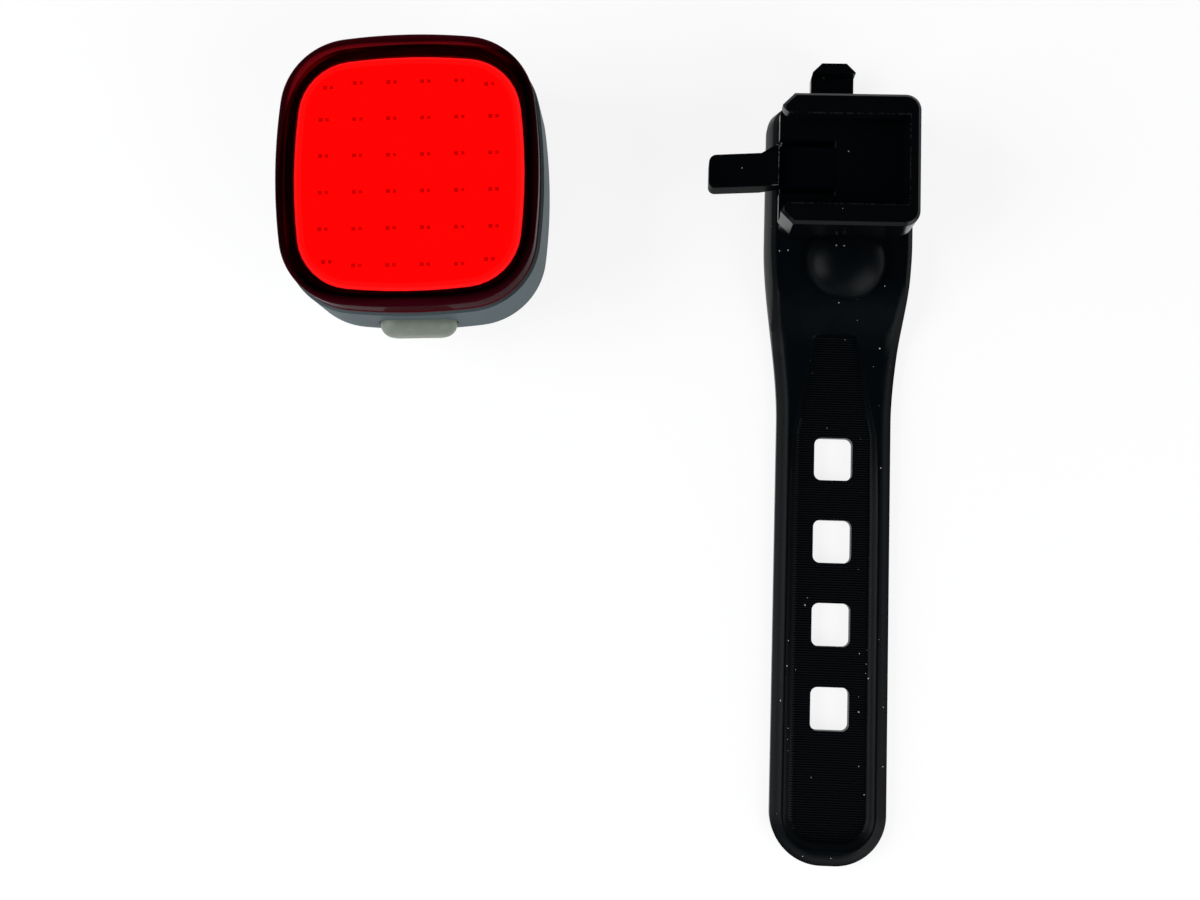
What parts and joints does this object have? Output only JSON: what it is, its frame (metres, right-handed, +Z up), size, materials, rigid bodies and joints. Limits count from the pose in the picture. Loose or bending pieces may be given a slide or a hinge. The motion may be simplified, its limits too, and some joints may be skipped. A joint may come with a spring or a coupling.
{
  "type": "bicycle rear light",
  "caption": "Square LED rear light with a clear red lens and side button, lying beside its rubber strap mount with a slide-in receiver and release tongue.",
  "frame": {"origin": "on the strap's flat back, under the middle of the slide receiver", "axes": "+Y along the strap towards its hook, +Z up from the table, +X away from the light, which lies at -X"},
  "size_m": [0.1078, 0.1389, 0.0253],
  "materials": {
    "clear_red": "clear red, polished",
    "gasket_rubber": "matte",
    "black_frame": "matte moulded",
    "white_board": "satin white solder mask",
    "dam_silicone": "satin silicone",
    "fill_silicone": "satin silicone",
    "led_die": "glossy",
    "silver_plastic": "fine matte silver-grey",
    "button_silicone": "satin translucent silicone",
    "green_board": "satin green solder mask",
    "chip_black": "matte moulded",
    "status_lens": "clear",
    "switch_grey": "matte moulded",
    "plunger_white": "matte moulded",
    "socket_steel": "stamped steel",
    "cell_foil": "satin foil pouch",
    "foam_tape": "matte foam",
    "lead_red": "satin insulation",
    "pin_brass": "plated",
    "screw_steel": "zinc plated",
    "cover_rubber": "matte",
    "black_plastic": "glossy moulded",
    "strap_rubber": "matte rubber"
  },
  "bodies": {
    "mount": {"receiver": "black_plastic", "strap": "strap_rubber"},
    "tongue": {"release_tongue": "black_plastic"},
    "light": {"lens": "clear_red", "lens_gasket": "gasket_rubber", "bezel_frame": "black_frame", "led_board": "white_board", "cob_dam": "dam_silicone", "cob_fill": "fill_silicone", "led_chips": "led_die", "housing": "silver_plastic", "control_board": "green_board", "driver_chip": "chip_black", "charge_chip": "chip_black", "status_led": "status_lens", "tact_switch": "switch_grey", "usb_shell": "socket_steel", "usb_tongue": "chip_black", "battery_cell": "cell_foil", "battery_pad": "foam_tape", "battery_leads": "lead_red", "link_pins": "pin_brass", "board_screws": "screw_steel"},
    "button": {"power_button": "button_silicone", "switch_plunger": "plunger_white"},
    "usb_flap": {"usb_cover": "cover_rubber"}
  },
  "joints": [
    {"name": "tongue_flex", "type": "hinge", "parent": "mount", "child": "tongue", "pos_m": [-0.0022, 0, 0.0138], "axis": [0, -1, 0], "range_deg": [0, 8], "stiffness_Nm_per_rad": 1},
    {"name": "light_lift", "type": "slide", "parent": "mount", "child": "light", "axis": [0, 0, 1], "range_m": [0, 0.06]},
    {"name": "button_press", "type": "slide", "parent": "light", "child": "button", "axis": [-0.0401, 0.9992, 0], "range_m": [0, 0.0007], "stiffness_N_per_m": 2500},
    {"name": "usb_cover_swing", "type": "hinge", "parent": "light", "child": "usb_flap", "pos_m": [-0.0804, 0.01782, 0.01162], "axis": [0, 0, 1], "range_deg": [0, 110]}
  ]
}
